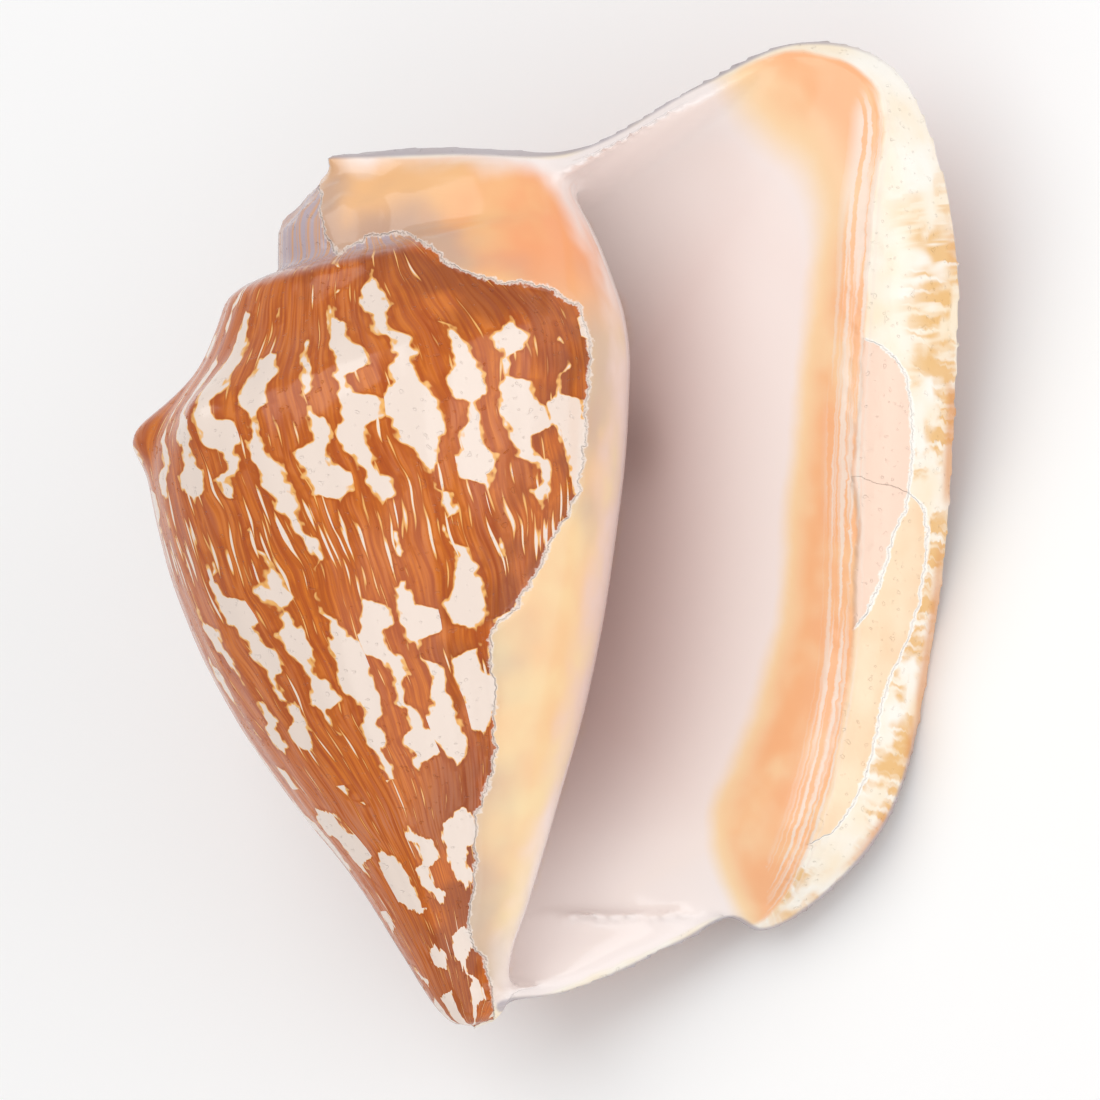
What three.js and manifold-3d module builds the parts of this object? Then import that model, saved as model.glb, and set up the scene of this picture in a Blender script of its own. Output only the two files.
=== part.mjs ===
// A broad, heavy-lipped conch shell lying on its back, with the aperture up.
//
// It is drawn in its growth frame and turned to its resting place at the end. In the growth frame
// x runs from the coiling axis to the outer lip, y runs along the axis from the siphonal tip to the
// apex, and z rises on the aperture side. Turn angles are measured about the axis the way the shell
// grew: 0 faces the aperture side, 90 the side away from the lip, 180 the back, -90 the lip side.
import * as THREE from "three";
import { mergeVertices } from "three/addons/utils/BufferGeometryUtils.js";
import Module from "manifold-3d";

const wasm = await Module();
wasm.setup();
const { clamp, degToRad, lerp, radToDeg, smoothstep } = THREE.MathUtils;

// Whorls
const apexHeight = 154;
const whorlGrowth = 1.6; // each whorl is this much wider than the one before
const spireFlatness = 1.3; // above 1 the early whorls sit closer to the apex than a cone would put them
const spireSlimness = 0.62; // the early whorls are this much narrower than steady growth would leave them
const spireCloseness = 0.5; // and their shoulders this much closer to the apex
const spireOpening = 100; // turn, in degrees, over which the spire opens out into the last whorl
const whorlCount = 6;
const shoulderHeight = 110; // of the last whorl, on the side away from the lip
const bodyStart = -170; // turn angle where the pillar begins, at the blind end of the aperture
const bodyEnd = 190; // turn angle where the last whorl runs into the lip's back
const bodyTuck = 0.045; // how far, as a share of its radius, the whorl's end tucks under the lip's back

// [height, radius] of the last whorl on the side away from the lip, tip to suture
const whorlProfile = profileThrough([
  [0, 0.5],
  [1.5, 4.2],
  [5, 6.8],
  [13, 10.5],
  [28, 17.5],
  [44, 27],
  [60, 35],
  [76, 40.5],
  [92, 43.5],
  [104, 43.8],
  [shoulderHeight, 41.5],
  [115, 37.5],
  [121, 32.5],
  [127, 29],
  [131.5, 26.5],
  [134.5, 19],
  [140, 0],
]);

// [height, radius] of the glazed pillar that stands at the left of the aperture
const pillarProfile = profileThrough([
  [0, 0.5],
  [1.5, 4.4],
  [4, 6.3],
  [11, 7.8],
  [20, 12],
  [37, 19.6],
  [57, 28],
  [80, 35.2],
  [105, 41],
  [117, 42.3],
  [128, 40.6],
  [140, 36.8],
  [147, 33],
  [150, 24],
  [152.5, 13],
  [apexHeight, 0],
]);

// Knobs on the shoulder, largest on the back, and a lower row of faint swellings. A drop is measured
// down the axis from the apex, on a whorl of full size.
const knobSpacing = 36;
const knobPhase = 88; // turn angle of the knob on the silhouette
const knobRise = 4.5;
const knobRiseAtBack = 8.1;
const knobReach = 5.5; // along the axis
const knobDrop = 43.5;
const spireKnobDrop = 35;
const lowerKnobRise = 2.5;
const lowerKnobReach = 8;
const lowerKnobDrop = 70;

// Outer lip and wing. Each station is a line from the back of the body (inner) over the lip's crest
// to its edge. Stations run along the edge from the spire round to the siphonal tip.
// root: where the wing leaves the body's back, and its wall there. lip: the shell's thickness at the crest.
const lipStations = [
  { root: [-2, 146, 0], wall: 3, crest: [-5, 152.5], lip: 2, edge: [-6.2, 154.4, 4] },
  { root: [4, 142, -2], wall: 3, crest: [15, 149.5], lip: 2, edge: [16, 151.8, 9] },
  { root: [6, 134, -12], wall: 3, crest: [36, 147], lip: 2, edge: [37, 149.5, 8.5] },
  { root: [6, 127, -24], wall: 4, crest: [59, 155], lip: 2.2, edge: [60, 158, 8] },
  { root: [4, 120, -34], wall: 5, crest: [77, 159.5], lip: 3.5, edge: [78, 163, 7] },
  { root: [2, 113, -40], wall: 6, crest: [88.5, 152], lip: 9, edge: [93.5, 157, 6] },
  { root: [0, 105, -46.5], wall: 6, crest: [84.5, 130], lip: 15, edge: [101, 130, 5.5] },
  { root: [0, 86, -48.5], wall: 6, crest: [78, 97], lip: 20, edge: [97.5, 97, 3] },
  { root: [0, 56, -39.5], wall: 6, crest: [71, 54], lip: 20, edge: [88.5, 56, -2] },
  { root: [0, 34, -25], wall: 5, crest: [61, 27], lip: 15, edge: [76, 26, 3] },
  { root: [0, 24, -18], wall: 4, crest: [54, 15.5], lip: 6, edge: [58, 11.5, 0.5] },
  { root: [0, 21, -16], wall: 4, crest: [50, 13], lip: 3.5, edge: [51.5, 10, -0.5] },
  { root: [0, 18.5, -14.5], wall: 3.5, crest: [46, 15], lip: 3, edge: [47, 12.8, -1.5] },
  { root: [0, 15, -12.5], wall: 3, crest: [37, 12.5], lip: 2.5, edge: [38, 9.6, -2.5] },
  { root: [0, 9, -9], wall: 2.5, crest: [16, 6.5], lip: 2, edge: [17, 3.2, -4] },
  { root: [0, 4, -5], wall: 2, crest: [5, 5.5], lip: 1.5, edge: [5.5, 3.5, -3.5] },
];
const wingFlare = 1.7; // above 1 the wing leaves the body's back along its curve before it flares
const rimFall = 1.7; // above 1 the rim's outer face starts flat at the crest

// Resting place: rolled toward the lip, then pitched with the apex up, it stands on two knobs of its
// back and on the lip's edge.
const restRoll = 27.1; // degrees about y
const restPitch = 14.1; // degrees about x
const wornDepth = 0.7; // how far the three resting spots are worn flat

// Mesh density
const columns = 49;
const ringHeights = [
  0.4, 5, 11, 18, 26, 35, 44, 53, 62, 71, 79, 86, 92, 97, 101, 105, 108, 111, 114, 117, 121, 125, 129, 132,
  135, 138, 141, 144, 147, 149.5, 151.5, 153, 153.8,
];
const stationSteps = 44;
const frontSteps = 13;
const rimSteps = 4; // of the front steps, those beyond the crest
const backSteps = 9;

// A smooth function of height through [height, value] points.
function profileThrough(points) {
  const slopes = points.map((_, i) => {
    const before = points[Math.max(i - 1, 0)];
    const after = points[Math.min(i + 1, points.length - 1)];
    return (after[1] - before[1]) / (after[0] - before[0]);
  });
  return (height) => {
    let i = 0;
    while (i < points.length - 2 && height > points[i + 1][0]) i++;
    const [from, low] = points[i];
    const [to, high] = points[i + 1];
    const span = to - from;
    const t = clamp((height - from) / span, 0, 1);
    const ease = t * t * (3 - 2 * t);
    const pull = t * (1 - t) * span;
    return lerp(low, high, ease) + pull * ((1 - t) * slopes[i] - t * slopes[i + 1]);
  };
}

// Radius of the outermost whorl at a turn angle and height. Whorls shrink about the apex, and the
// spire's whorls open out into the last one over the part of a turn before it begins.
function whorlRadius(angle, height) {
  let widest = 0;
  for (let turn = 0; turn < whorlCount; turn++) {
    const size = whorlGrowth ** ((angle - 90) / 360 - turn);
    const opening = smoothstep(angle - 360 * turn, bodyStart - spireOpening, bodyStart);
    const lowering = size ** spireFlatness * lerp(spireCloseness, 1, opening);
    const drop = (apexHeight - height) / lowering;
    const shoulderDrop = apexHeight - shoulderHeight;
    const shoulder = apexHeight - shoulderDrop * lowering;
    const matched = drop < shoulderDrop ? apexHeight - drop : (shoulderHeight * height) / shoulder;
    const knob = turn ? spireKnob(angle, drop) : bodyKnob(angle, drop);
    const width = size * lerp(spireSlimness, 1, opening);
    widest = Math.max(widest, width * (Math.max(whorlProfile(matched), 0) + knob));
  }
  return widest;
}

function knobPulse(angle) {
  return (0.5 + 0.5 * Math.cos(((angle - knobPhase) * 2 * Math.PI) / knobSpacing)) ** 2;
}

function bell(distance, reach) {
  return Math.exp(-((distance / reach) ** 2));
}

function bodyKnob(angle, drop) {
  const growing = lerp(knobRise, knobRiseAtBack, smoothstep(angle, 90, 160)) * smoothstep(angle, 20, 80);
  const rise = growing * (1 - smoothstep(angle, 200, 250));
  const lowerRise = lowerKnobRise * smoothstep(angle, 120, 180) * (1 - smoothstep(angle, 200, 230));
  const upper = rise * bell(drop - knobDrop, knobReach);
  return knobPulse(angle) * (upper + lowerRise * bell(drop - lowerKnobDrop, lowerKnobReach));
}

function spireKnob(angle, drop) {
  return knobRise * knobPulse(angle) * bell(drop - spireKnobDrop, knobReach);
}

// How far the glaze of the pillar replaces the whorl: all of it beside the aperture, less to each side.
function glazeShare(angle, height) {
  const nearSpire = smoothstep(height, 112, 142);
  const start = lerp(60, -15, nearSpire);
  const end = lerp(-160, -125, nearSpire);
  return angle > -80 ? 1 - smoothstep(angle, -70, start) : smoothstep(angle, end, -90);
}

function bodyRadius(angle, height) {
  const whorl = whorlRadius(angle, height) * (1 - bodyTuck * smoothstep(angle, 165, bodyEnd));
  return lerp(whorl, pillarProfile(height), glazeShare(angle, height));
}

// A closed mesh through rings of points, each ring going round the same way. The ends are closed by
// a point in the middle of the first and the last ring.
function closedLoft(rings) {
  const count = rings[0].length;
  const middle = (ring) =>
    ring.reduce((sum, p) => sum.add(p), new THREE.Vector3()).multiplyScalar(1 / count);
  const points = [...rings.flat(), middle(rings[0]), middle(rings.at(-1))];
  const first = points.length - 2;
  const last = points.length - 1;
  const faces = [];
  for (let i = 0; i < count; i++) {
    const next = (i + 1) % count;
    for (let r = 0; r < rings.length - 1; r++) {
      const [a, b] = [r * count + i, r * count + next];
      const [c, d] = [a + count, b + count];
      faces.push(a, b, d, a, d, c);
    }
    const top = (rings.length - 1) * count;
    faces.push(first, next, i, last, top + i, top + next);
  }
  const geometry = new THREE.BufferGeometry().setFromPoints(points);
  geometry.setIndex(faces);
  return geometry;
}

function bodyGeometry() {
  const rings = ringHeights.map((height) =>
    Array.from({ length: columns }, (_, i) => {
      const angle = lerp(bodyEnd, bodyStart, i / (columns - 1));
      const radius = Math.max(bodyRadius(angle, height), 0.3);
      const turn = degToRad(angle);
      return new THREE.Vector3(-radius * Math.sin(turn), height, radius * Math.cos(turn));
    }),
  );
  return closedLoft(rings);
}

// The lip's stations joined by smooth curves, so that any share of the way along gives a station.
const rootLine = stationCurve((s) => s.root);
const crestLine = stationCurve((s) => [...s.crest, 0]);
const edgeLine = stationCurve((s) => s.edge);
const thicknessLine = stationCurve((s) => [s.wall, s.lip, 0]);

function stationCurve(pick) {
  return new THREE.CatmullRomCurve3(lipStations.map((s) => new THREE.Vector3(...pick(s))));
}

// The knobs carry on from the body's back over the wing's.
function wingKnob(x, y, z) {
  const angle = 180 + radToDeg(Math.atan2(x, -z));
  const size = whorlGrowth ** ((angle - 90) / 360);
  return z < 0 ? size * bodyKnob(angle, (apexHeight - y) / size ** spireFlatness) : 0;
}

// One closed section of the wing: out over the aperture face and the rim, back along the back.
function wingSection(share) {
  const root = rootLine.getPoint(share);
  const crest = crestLine.getPoint(share);
  const edge = edgeLine.getPoint(share);
  const { x: wall, y: lip } = thicknessLine.getPoint(share);
  const inside = Math.hypot(crest.x - root.x, crest.y - root.y);
  const rim = Math.hypot(edge.x - crest.x, edge.y - crest.y);
  const crestAt = inside / (inside + rim);

  const onBack = (t) => {
    const beyond = t > crestAt;
    const [from, to] = beyond ? [crest, edge] : [root, crest];
    const local = beyond ? (t - crestAt) / (1 - crestAt) : t / crestAt;
    const flare = Math.sin((Math.PI / 2) * t ** wingFlare);
    const x = lerp(from.x, to.x, local);
    const y = lerp(from.y, to.y, local);
    const z = lerp(root.z, edge.z, flare);
    return new THREE.Vector3(x, y, z - wingKnob(x, y, z));
  };
  const onFront = (t) => {
    const point = onBack(t);
    const thickness =
      t < crestAt
        ? lerp(wall, lip, smoothstep((t / crestAt) ** 1.5, 0, 1))
        : lip * (1 - ((t - crestAt) / (1 - crestAt)) ** rimFall);
    point.z += thickness;
    return point;
  };

  // Steps are shared between the inside and the rim so that one of them lands on the crest.
  const inner = frontSteps - rimSteps;
  const front = Array.from({ length: frontSteps }, (_, i) =>
    i <= inner ? (crestAt * i) / inner : lerp(crestAt, 1, (i - inner) / (frontSteps - inner)),
  );
  const back = Array.from({ length: backSteps }, (_, i) => 1 - i / (backSteps - 1));
  return [...front.map(onFront), ...back.map(onBack)].reverse();
}

function wingGeometry() {
  const sections = Array.from({ length: stationSteps + 1 }, (_, i) => wingSection(i / stationSteps));
  return closedLoft(sections);
}

function solidFrom(geometry) {
  const bare = new THREE.BufferGeometry();
  bare.setAttribute("position", geometry.getAttribute("position"));
  bare.setIndex(geometry.getIndex());
  const merged = mergeVertices(bare, 1e-4);
  return new wasm.Manifold(
    new wasm.Mesh({
      numProp: 3,
      vertProperties: merged.getAttribute("position").array,
      triVerts: new Uint32Array(merged.getIndex().array),
    }),
  );
}

function geometryFrom(solid) {
  const { vertProperties, triVerts } = solid.getMesh();
  const geometry = new THREE.BufferGeometry();
  geometry.setAttribute("position", new THREE.BufferAttribute(vertProperties, 3));
  geometry.setIndex(new THREE.BufferAttribute(triVerts, 1));
  return geometry;
}

// Turns the shell to its resting place, wears the resting spots flat and stands it on the origin.
function laidToRest(solid) {
  const roll = new THREE.Euler(degToRad(restPitch), degToRad(restRoll), 0, "XYZ");
  const turned = geometryFrom(solid).applyMatrix4(new THREE.Matrix4().makeRotationFromEuler(roll));
  turned.computeBoundingBox();
  const { min, max } = turned.boundingBox;
  const across = 2 * (max.x - min.x);
  const ground = new THREE.BoxGeometry(across, across, 2 * wornDepth);
  ground.translate((min.x + max.x) / 2, (min.y + max.y) / 2, min.z);
  const worn = geometryFrom(solidFrom(turned).subtract(solidFrom(ground)));
  return worn.translate(-(min.x + max.x) / 2, -(min.y + max.y) / 2, -min.z - wornDepth);
}

const body = solidFrom(bodyGeometry());
const wing = solidFrom(wingGeometry());

const shell = new THREE.Mesh(
  laidToRest(body.add(wing)),
  new THREE.MeshStandardMaterial({ color: 0xc98a5a, roughness: 0.25, metalness: 0 }),
);
shell.name = "shell";

const part = new THREE.Group();
part.add(shell);
export default part;
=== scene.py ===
import math
import bpy
import numpy as np
import openvdb
from mathutils import Matrix, Vector
from mathutils.bvhtree import BVHTree


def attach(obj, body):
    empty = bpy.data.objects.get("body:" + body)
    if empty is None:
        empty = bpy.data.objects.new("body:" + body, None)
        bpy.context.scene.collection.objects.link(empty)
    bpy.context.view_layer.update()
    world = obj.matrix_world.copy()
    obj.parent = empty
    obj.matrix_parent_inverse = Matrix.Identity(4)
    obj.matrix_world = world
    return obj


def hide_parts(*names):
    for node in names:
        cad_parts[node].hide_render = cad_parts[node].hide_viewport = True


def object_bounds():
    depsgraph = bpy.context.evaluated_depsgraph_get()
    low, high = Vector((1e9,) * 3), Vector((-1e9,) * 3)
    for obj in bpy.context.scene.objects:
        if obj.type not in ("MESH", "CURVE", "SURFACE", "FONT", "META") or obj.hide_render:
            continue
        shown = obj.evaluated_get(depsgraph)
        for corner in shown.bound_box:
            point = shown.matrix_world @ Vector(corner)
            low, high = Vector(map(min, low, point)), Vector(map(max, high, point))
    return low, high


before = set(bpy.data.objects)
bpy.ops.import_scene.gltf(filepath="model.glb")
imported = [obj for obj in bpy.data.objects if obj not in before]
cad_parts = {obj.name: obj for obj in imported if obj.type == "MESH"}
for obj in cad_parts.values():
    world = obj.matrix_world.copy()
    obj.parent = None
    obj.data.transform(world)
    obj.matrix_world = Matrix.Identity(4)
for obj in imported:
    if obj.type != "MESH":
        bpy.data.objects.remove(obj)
cadBox = [list(corner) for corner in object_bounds()]
print("frame loaded")

# The shell is grown in millimetres in its own frame: x from the coiling axis to the outer lip,
# y along the axis from the siphonal tip to the apex, z up on the aperture side.
# Turn angles go round the axis: 0 on the aperture side, 90 left, 180 back, -90 on the lip side.
whorls = {
    "Apex Height": 154.0,
    "Whorl Growth": 1.6,        # each whorl this much wider than the last
    "Spire Flatness": 1.3,
    "Spire Slimness": 0.62,     # the early whorls against steady growth
    "Spire Closeness": 0.5,     # and how close their shoulders sit to the apex
    "Spire Opening": 100.0,     # turn over which the spire opens into the last whorl
    "Shoulder Height": 110.0,
    "Body Start": -170.0,
    "Body End": 190.0,
    "Body Tuck": 0.045,
    "Knob Spacing": 36.0,
    "First Knob": 88.0,
    "Knob Rise": 4.5,
    "Back Knob Rise": 8.1,
    "Knob Drop": 43.5,
    "Spire Knob Drop": 35.0,
    "Knob Reach": 5.5,
    "Lower Knob Rise": 2.5,
    "Lower Knob Drop": 70.0,
    "Lower Knob Reach": 8.0,
}
whorlDetail = {
    "turns": 6, "columns": 360, "rows": 230,
    "crowding": 1.3,            # above 1 the rows sit closer towards the apex
    "wall": 0.985,              # past this share of its width the sheet closes the whorl's end
    "measured": 90.0,           # turn where the profile is measured
    "tallest": 160.0, "widest": 50.0,       # room that the profile curves have
}
# degrees of turn over which the knobs come and go
knobTurns = {
    "start": (20, 80), "swell": (90, 160), "fade": (200, 250),
    "lower start": (120, 180), "lower fade": (200, 230),
}
# The glazed pillar narrows over these heights. Its edges are in degrees of turn, before and after it.
pillarReach = {
    "narrows": (112, 142),
    "inner": -70, "left": (60, -15), "behind": (-160, -125), "root": -90, "middle": -80,
}

# [height, radius] from the tip up, on the side away from the lip
whorlProfile = [
    (0, 0.5), (1.5, 4.2), (5, 6.8), (13, 10.5), (28, 17.5), (44, 27), (60, 35), (76, 40.5), (92, 43.5),
    (104, 43.8), (110, 41.5), (115, 37.5), (121, 32.5), (127, 29), (131.5, 26.5), (134.5, 19),
    (140, 0), (154, 0),
]
# [height, radius] of the glazed pillar at the left of the aperture
pillarProfile = [
    (0, 0.5), (1.5, 4.4), (4, 6.3), (11, 7.8), (20, 12), (37, 19.6), (57, 28), (80, 35.2), (105, 41),
    (117, 42.3), (128, 40.6), (140, 36.8), (147, 33), (150, 24), (152.5, 13), (154, 0),
]

# The lip, station by station round its edge: where the wing leaves the body's back, the wall
# there, the crest, the thickness at the crest, and the edge.
lipStations = [
    ((-2, 146, 0), 3, (-5, 152.5), 2, (-6.2, 154.4, 4)),
    ((4, 142, -2), 3, (15, 149.5), 2, (16, 151.8, 9)),
    ((6, 134, -12), 3, (36, 147), 2, (37, 149.5, 8.5)),
    ((6, 127, -24), 4, (59, 155), 2.2, (60, 158, 8)),
    ((4, 120, -34), 5, (77, 159.5), 3.5, (78, 163, 7)),
    ((2, 113, -40), 6, (88.5, 152), 9, (93.5, 157, 6)),
    ((0, 105, -46.5), 6, (84.5, 130), 15, (101, 130, 5.5)),
    ((0, 86, -48.5), 6, (78, 97), 20, (97.5, 97, 3)),
    ((0, 56, -39.5), 6, (71, 54), 20, (88.5, 56, -2)),
    ((0, 34, -25), 5, (61, 27), 15, (76, 26, 3)),
    ((0, 24, -18), 4, (54, 15.5), 6, (58, 11.5, 0.5)),
    ((0, 21, -16), 4, (50, 13), 3.5, (51.5, 10, -0.5)),
    ((0, 18.5, -14.5), 3.5, (46, 15), 3, (47, 12.8, -1.5)),
    ((0, 15, -12.5), 3, (37, 12.5), 2.5, (38, 9.6, -2.5)),
    ((0, 9, -9), 2.5, (16, 6.5), 2, (17, 3.2, -4)),
    ((0, 4, -5), 2, (5, 5.5), 1.5, (5.5, 3.5, -3.5)),
]
lip = {
    "flare": 1.7,               # above 1 the wing leaves the back along its curve before it flares
    "rimFall": 1.7,             # above 1 the rim starts flat at the crest
    "thinnest": 2.3,            # wall, measured square on
    "steepest": 6.0,            # most that a steep wall's height may grow
    "smoothing": 33,            # steps that the wall is evened out over
    "steps": 520, "front": 90, "rim": 40, "back": 80,
}
growth = {
    "voxel": 1.0, "fillet": 3.0,    # how finely and how softly body and lip fuse
    "reach": 8.0, "margin": 5,      # voxels that the fields reach from the surface, and of air round it
    "relax": 2, "slack": 0.6,       # rounds of evening out, and the share that each point moves
    "flattest": 0.3,                # least slope that pulls a point back to the surface
}
rest = {"roll": 27.1, "pitch": 14.1, "worn": 0.7}       # degrees, and the depth of the worn spots


class Wire:
    # A socket that takes part in Python arithmetic, in shader trees and in geometry trees alike.
    def __init__(self, tree, socket=None):
        self.tree, self.socket = tree, socket

    def node(self, kind, settings=None, inputs=None, output=0):
        made = self.tree.nodes.new(kind)
        for name, value in (settings or {}).items():
            if name == "points":
                curve = made.mapping.curves[0]
                curve.points[0].location, curve.points[1].location = value[0], value[-1]
                for place in value[1:-1]:
                    curve.points.new(*place)
                made.mapping.update()
            else:
                setattr(made, name, value)
        for name, value in (inputs or {}).items():
            if isinstance(value, Wire):
                self.tree.links.new(value.socket, made.inputs[name])
            else:
                made.inputs[name].default_value = value
        return Wire(self.tree, made.outputs[output])

    def calc(self, operation, *values, clamp=False):
        return self.node("ShaderNodeMath", {"operation": operation, "use_clamp": clamp},
                         dict(enumerate(values)))

    def __add__(self, other): return self.calc("ADD", self, other)
    def __radd__(self, other): return self.calc("ADD", other, self)
    def __sub__(self, other): return self.calc("SUBTRACT", self, other)
    def __rsub__(self, other): return self.calc("SUBTRACT", other, self)
    def __mul__(self, other): return self.calc("MULTIPLY", self, other)
    def __rmul__(self, other): return self.calc("MULTIPLY", other, self)
    def __truediv__(self, other): return self.calc("DIVIDE", self, other)
    def __rtruediv__(self, other): return self.calc("DIVIDE", other, self)
    def __pow__(self, other): return self.calc("POWER", self, other)
    def __rpow__(self, other): return self.calc("POWER", other, self)
    def __neg__(self): return self.calc("MULTIPLY", self, -1)

    def most(self, other): return self.calc("MAXIMUM", self, other)
    def sine(self): return self.calc("SINE", self)
    def cosine(self): return self.calc("COSINE", self)
    def size(self): return self.calc("ABSOLUTE", self)
    def clamp(self): return self.calc("ADD", self, 0, clamp=True)

    # 0 before low, 1 after high, smooth between
    def ease(self, low, high):
        return self.node("ShaderNodeMapRange", {"interpolation_type": "SMOOTHSTEP"},
                         {"Value": self, "From Min": low, "From Max": high})

    # 1 between two soft steps
    def between(self, rise, fall):
        return self.ease(*rise) * (1 - self.ease(*fall))

    # from start to end by this share
    def blend(self, start, end):
        return start + (end - start) * self

    # 1 at 0, falling off over the reach
    def bell(self, reach):
        return 2.718 ** (-((self / reach) ** 2))


def bodyKnobs(turn, drop, size):
    pulse = (0.5 + 0.5 * ((turn - size["First Knob"]) * (2 * math.pi) / size["Knob Spacing"]).cosine()) ** 2
    growing = turn.ease(*knobTurns["swell"]).blend(size["Knob Rise"], size["Back Knob Rise"])
    rise = growing * turn.between(knobTurns["start"], knobTurns["fade"])
    lower = size["Lower Knob Rise"] * turn.between(knobTurns["lower start"], knobTurns["lower fade"])
    upper = rise * (drop - size["Knob Drop"]).bell(size["Knob Reach"])
    spire = size["Knob Rise"] * pulse * (drop - size["Spire Knob Drop"]).bell(size["Knob Reach"])
    return pulse * (upper + lower * (drop - size["Lower Knob Drop"]).bell(size["Lower Knob Reach"])), spire


def growTree(name, sizes):
    tree = bpy.data.node_groups.new(name, "GeometryNodeTree")
    tree.interface.new_socket("Mesh", in_out="OUTPUT", socket_type="NodeSocketGeometry")
    tree.interface.new_socket("Start", in_out="INPUT", socket_type="NodeSocketGeometry")
    for label, value in sizes.items():
        socket = tree.interface.new_socket(label, in_out="INPUT", socket_type="NodeSocketFloat")
        socket.default_value = value
    tree.interface.new_socket("Finish", in_out="INPUT", socket_type="NodeSocketMaterial")
    entry = tree.nodes.new("NodeGroupInput")
    return tree, {socket.name: Wire(tree, socket) for socket in entry.outputs if socket.name}


def whorlTree():
    tree, size = growTree("grow whorls", whorls)
    make = Wire(tree)
    sheet = make.node("GeometryNodeMeshGrid", None, {
        "Size X": 1.0, "Size Y": 1.0,
        "Vertices X": whorlDetail["columns"], "Vertices Y": whorlDetail["rows"]})
    place = make.node("GeometryNodeInputPosition")
    across = place.node("ShaderNodeSeparateXYZ", None, {0: place}, 0) + 0.5
    up = place.node("ShaderNodeSeparateXYZ", None, {0: place}, 1) + 0.5
    height = size["Apex Height"] * (1 - (1 - up) ** whorlDetail["crowding"])
    wall = whorlDetail["wall"]

    def profileCurve(height, profile):
        tall, wide = whorlDetail["tallest"], whorlDetail["widest"]
        points = [(h / tall, r / wide) for h, r in profile]
        return height.node("ShaderNodeFloatCurve", {"points": points}, {"Value": height / tall}) * wide

    def radiusAt(turn):
        widest = None
        for whorl in range(whorlDetail["turns"]):
            scale = size["Whorl Growth"] ** ((turn - whorlDetail["measured"]) / 360 - whorl)
            opening = turn - 360 * whorl
            opening = opening.ease(size["Body Start"] - size["Spire Opening"], size["Body Start"])
            flat = scale ** size["Spire Flatness"] * opening.blend(size["Spire Closeness"], 1)
            drop = (size["Apex Height"] - height) / flat
            shoulderDrop = size["Apex Height"] - size["Shoulder Height"]
            shoulder = size["Apex Height"] - shoulderDrop * flat
            above = make.calc("LESS_THAN", drop, shoulderDrop)
            matched = above.blend(size["Shoulder Height"] * height / shoulder, size["Apex Height"] - drop)
            outline = profileCurve(matched, whorlProfile)
            body, spire = bodyKnobs(turn, drop, size)
            width = scale * opening.blend(size["Spire Slimness"], 1)
            radius = width * (outline.most(0) + (spire if whorl else body))
            widest = radius if widest is None else widest.most(radius)
        widest = widest * (1 - size["Body Tuck"] * turn.ease(165, size["Body End"]))
        pillar = profileCurve(height, pillarProfile)
        spireward = height.ease(*pillarReach["narrows"])
        lipSide = 1 - turn.ease(pillarReach["inner"], spireward.blend(*pillarReach["left"]))
        behind = turn.ease(spireward.blend(*pillarReach["behind"]), pillarReach["root"])
        glazed = make.calc("GREATER_THAN", turn, pillarReach["middle"]).blend(behind, lipSide)
        return glazed.blend(widest, pillar)

    turn = (across / wall).clamp().blend(size["Body End"], size["Body Start"])
    ends = (up * 400).clamp() * ((1 - up) * 400).clamp()    # both ends close on the axis
    radius = across.ease(wall, 1).blend(radiusAt(turn), radiusAt(size["Body End"])) * ends
    angle = turn * (math.pi / 180)
    grown = make.node("ShaderNodeCombineXYZ", None, {
        0: -radius * angle.sine(), 1: height, 2: radius * angle.cosine()})
    sheet = make.node("GeometryNodeSetPosition", None, {"Geometry": sheet, "Position": grown})
    sheet = make.node("GeometryNodeMergeByDistance", None, {"Geometry": sheet, "Distance": 0.01})
    sheet = make.node("GeometryNodeRealizeInstances", None, {"Geometry": sheet})
    sheet = make.node("GeometryNodeSetMaterial", None, {"Geometry": sheet, "Material": size["Finish"]})
    tree.links.new(sheet.socket, tree.nodes.new("NodeGroupOutput").inputs[0])
    return tree


def grownMesh(tree, sizes, finish, start=None):
    holder = bpy.data.objects.new("grower", start or bpy.data.meshes.new("grower"))
    bpy.context.scene.collection.objects.link(holder)
    grow = holder.modifiers.new("grow", "NODES")
    grow.node_group = tree
    for item in tree.interface.items_tree:
        if item.in_out == "INPUT" and item.name in sizes:
            grow[item.identifier] = sizes[item.name]
        elif item.in_out == "INPUT" and item.name == "Finish":
            grow[item.identifier] = finish
    mesh = bpy.data.meshes.new_from_object(holder.evaluated_get(bpy.context.evaluated_depsgraph_get()))
    holder.modifiers.remove(grow)
    bpy.data.objects.remove(holder)
    return mesh


def throughStations(points, share):
    # a centripetal curve through the stations; share 0 to 1 goes from the first to the last
    points = np.array(points, float)
    points = np.vstack([2 * points[0] - points[1], points, 2 * points[-1] - points[-2]])
    place = share * (len(points) - 3)
    first = np.minimum(place.astype(int), len(points) - 4)
    t = (place - first)[:, None]
    p = [points[first + i] for i in range(4)]
    d = [np.linalg.norm(p[i + 1] - p[i], axis=1)[:, None] ** 0.5 for i in range(3)]
    d[1] = np.where(d[1] < 0.01, 1, d[1])
    d = [np.where(gap < 0.01, d[1], gap) for gap in d]      # two stations may share a value
    start = ((p[1] - p[0]) / d[0] - (p[2] - p[0]) / (d[0] + d[1]) + (p[2] - p[1]) / d[1]) * d[1]
    end = ((p[2] - p[1]) / d[1] - (p[3] - p[1]) / (d[1] + d[2]) + (p[3] - p[2]) / d[2]) * d[1]
    return (p[1] * (2 * t**3 - 3 * t**2 + 1) + start * (t**3 - 2 * t**2 + t)
            + p[2] * (3 * t**2 - 2 * t**3) + end * (t**3 - t**2))


def ease(value, low, high):
    t = np.clip((value - low) / (high - low), 0, 1)
    return t * t * (3 - 2 * t)


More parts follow.
